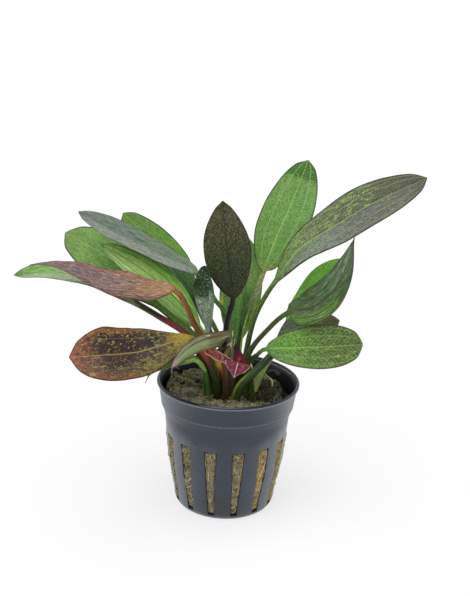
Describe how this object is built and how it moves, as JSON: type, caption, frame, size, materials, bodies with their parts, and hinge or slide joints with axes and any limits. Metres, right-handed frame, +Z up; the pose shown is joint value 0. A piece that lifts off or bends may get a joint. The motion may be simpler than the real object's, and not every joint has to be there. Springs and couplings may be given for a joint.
{
  "type": "potted aquarium sword plant",
  "caption": "Red flame sword plant: a rosette of stalked oval leaves, green to maroon, planted in rock wool in a slotted net pot.",
  "frame": {"origin": "centre of the pot's flat underside, on the pot's turning axis", "axes": "+Z up along the pot's axis, +X to the right seen from the front, -Y towards the front"},
  "size_m": [0.1436, 0.0788, 0.1241],
  "materials": {
    "pot_plastic": "satin dark blue-grey moulded plastic",
    "rock_wool": "matted mineral fibre, khaki with olive and brown patches",
    "crown": "rough fibrous stem, olive brown",
    "root": "smooth pale root",
    "leaf_green": "satin mid-green leaf with lime veins",
    "leaf_bright": "satin yellow-green leaf",
    "leaf_dark_green": "glossy dark green leaf",
    "leaf_dark": "satin chocolate leaf speckled with green",
    "leaf_mottled": "satin dark green and maroon leaf with lime mottling",
    "leaf_grey": "silvery grey-green leaf",
    "leaf_brown": "wilting leaf, maroon brown with yellow flecks",
    "leaf_mauve": "wilted leaf, mauve brown with a rusty margin",
    "leaf_red": "shrivelled dead leaf, dark red and magenta"
  },
  "bodies": {
    "root": {"net_pot": "pot_plastic", "rock_wool": "rock_wool", "crown": "crown", "root_pale": "root", "leaf_right_long": "leaf_mottled", "leaf_tall_green": "leaf_green", "leaf_dark_upright": "leaf_dark", "leaf_behind_dark": "leaf_green", "leaf_right_curved": "leaf_dark_green", "leaf_right_back": "leaf_green", "leaf_right_low": "leaf_green", "leaf_right_under": "leaf_dark_green", "leaf_left_brown": "leaf_brown", "leaf_front_folded": "leaf_grey", "leaf_left_mauve": "leaf_mauve", "leaf_left_low": "leaf_green", "leaf_left_broad": "leaf_green", "leaf_left_grey": "leaf_grey", "leaf_back_left": "leaf_green", "leaf_left_bright": "leaf_bright", "leaf_left_dark": "leaf_dark_green", "leaf_young": "leaf_dark_green", "leaf_crumpled": "leaf_red", "leaf_stub_red": "leaf_red", "leaf_left_drooping": "leaf_bright"}
  },
  "joints": []
}
